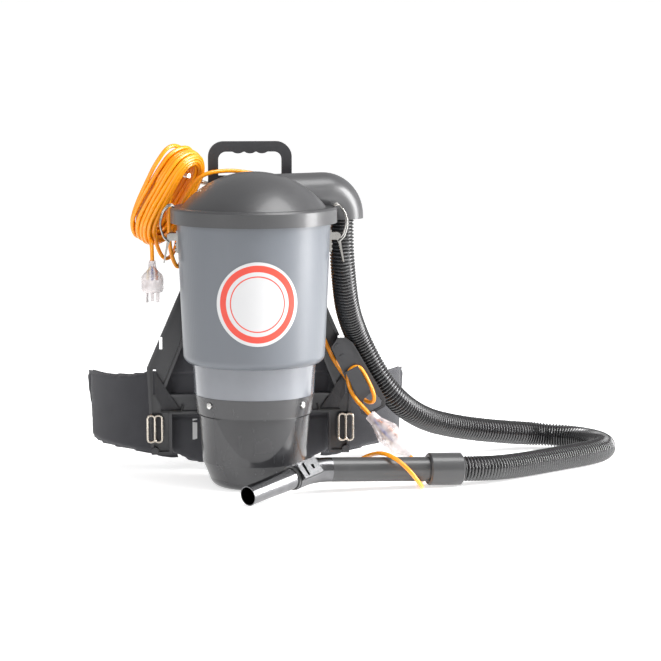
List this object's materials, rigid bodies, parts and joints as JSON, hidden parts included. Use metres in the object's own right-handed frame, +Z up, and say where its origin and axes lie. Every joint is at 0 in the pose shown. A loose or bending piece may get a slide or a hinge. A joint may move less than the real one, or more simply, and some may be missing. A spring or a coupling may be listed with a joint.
{
  "type": "backpack vacuum cleaner",
  "caption": "Backpack vacuum cleaner with a grey tank, black motor housing, padded harness, corrugated hose with handpiece, and an orange extension lead.",
  "frame": {"origin": "centre of the canister's flat base on the floor", "axes": "+Z up the canister; -Y to the front with the badge; +Y to the wearer's back; +X to the hose side"},
  "size_m": [0.9163, 0.5378, 0.5585],
  "materials": {
    "tank_grey": "satin",
    "lid_grey": "satin",
    "black_rubber": "matte",
    "filter_cloth": "woven",
    "ring_plastic": "satin",
    "badge_white": "printed film",
    "housing_black": "satin",
    "screw_steel": "zinc plated",
    "rocker_black": "gloss",
    "motor_iron": "varnished",
    "shaft_steel": "ground",
    "impeller_alloy": "pressed sheet",
    "latch_steel": "bright",
    "frame_black": "moulded satin",
    "pad_fabric": "spacer mesh over foam",
    "webbing_black": "woven webbing",
    "ring_steel": "plated wire",
    "tag_white": "woven label",
    "hose_black": "corrugated satin",
    "cuff_black": "satin",
    "tip_chrome": "polished",
    "lead_orange": "satin",
    "plug_clear": "clear"
  },
  "bodies": {
    "canister": {"back_pad": "pad_fabric", "bag_ring": "ring_plastic", "belt_wing_left": "pad_fabric", "belt_wing_right": "pad_fabric", "buckle_prong": "frame_black", "buckle_socket": "frame_black", "carry_handle": "frame_black", "fabric_tag": "tag_white", "fan_case": "housing_black", "filter_bag": "filter_cloth", "flex_gland": "black_rubber", "frame_bolts": "screw_steel", "front_badge": "badge_white", "harness_frame": "frame_black", "hose": "hose_black", "hose_cuff": "cuff_black", "housing_screws": "screw_steel", "latch_base_left": "latch_steel", "latch_base_right": "latch_steel", "lead_coil": "lead_orange", "lead_hook": "ring_steel", "lead_retainer": "frame_black", "lead_run": "lead_orange", "lead_socket": "plug_clear", "lead_tail": "lead_orange", "lid_gasket": "black_rubber", "lid_shell": "lid_grey", "lower_saddle": "frame_black", "machine_flex": "lead_orange", "machine_plug": "plug_clear", "mains_plug": "plug_clear", "motor_housing": "housing_black", "motor_mounts": "black_rubber", "motor_stator": "motor_iron", "retainer_screws": "frame_black", "ring_studs": "frame_black", "shoulder_strap_left": "pad_fabric", "shoulder_strap_right": "pad_fabric", "strap_bars": "black_rubber", "strap_ring_left": "ring_steel", "strap_ring_right": "ring_steel", "strap_webbing": "webbing_black", "switch_bezel": "housing_black", "tank": "tank_grey", "upper_saddle": "frame_black", "waist_webbing": "webbing_black"},
    "lever_right": {"latch_lever_right": "latch_steel"},
    "lever_left": {"latch_lever_left": "latch_steel"},
    "claw_right": {"latch_claw_right": "latch_steel"},
    "claw_left": {"latch_claw_left": "latch_steel"},
    "rotor": {"motor_shaft": "shaft_steel", "armature": "motor_iron", "impeller": "impeller_alloy"},
    "swivel": {"hose_swivel": "black_rubber"},
    "rocker": {"switch_rocker": "rocker_black"},
    "grip": {"handpiece": "cuff_black", "metal_bend": "tip_chrome", "tip_collar": "cuff_black", "tip_tube": "tip_chrome"},
    "regulator": {"regulator_slide": "tip_chrome"}
  },
  "joints": [
    {"name": "latch_right", "type": "hinge", "parent": "canister", "child": "lever_right", "pos_m": [0.13751, 0, 0.412], "axis": [0, -1, 0], "range_deg": [0, 150]},
    {"name": "latch_left", "type": "hinge", "parent": "canister", "child": "lever_left", "pos_m": [-0.13751, 0, 0.412], "axis": [0, 1, 0], "range_deg": [0, 150]},
    {"name": "claw_turn_right", "type": "hinge", "parent": "lever_right", "child": "claw_right", "pos_m": [0.13891, 0, 0.403], "axis": [0, -1, 0], "range_deg": [-180, 0]},
    {"name": "claw_turn_left", "type": "hinge", "parent": "lever_left", "child": "claw_left", "pos_m": [-0.13891, 0, 0.403], "axis": [0, 1, 0], "range_deg": [-180, 0]},
    {"name": "motor_spin", "type": "hinge", "parent": "canister", "child": "rotor", "pos_m": [0, 0, 0.14], "axis": [0, 0, 1], "continuous": true},
    {"name": "hose_swivel_turn", "type": "hinge", "parent": "canister", "child": "swivel", "pos_m": [0.14879, 0.06408, 0.44], "axis": [0, 0, 1], "continuous": true},
    {"name": "switch_rock", "type": "hinge", "parent": "canister", "child": "rocker", "pos_m": [-0.05479, 0.07013, 0.076], "axis": [-0.788, -0.6157, 0], "range_deg": [-10, 0]},
    {"name": "grip_swivel", "type": "hinge", "parent": "canister", "child": "grip", "pos_m": [0.338, -0.036, 0.0275], "axis": [-0.9792, -0.1982, 0.0436], "range_deg": [0, 75]},
    {"name": "regulator_slide_move", "type": "slide", "parent": "grip", "child": "regulator", "axis": [-0.707, -0.6942, -0.135], "range_m": [0, 0.0114]}
  ],
  "couplings": [
    {"joint": "claw_turn_right", "follows": "latch_right", "ratio": -1.2},
    {"joint": "claw_turn_left", "follows": "latch_left", "ratio": -1.2}
  ]
}
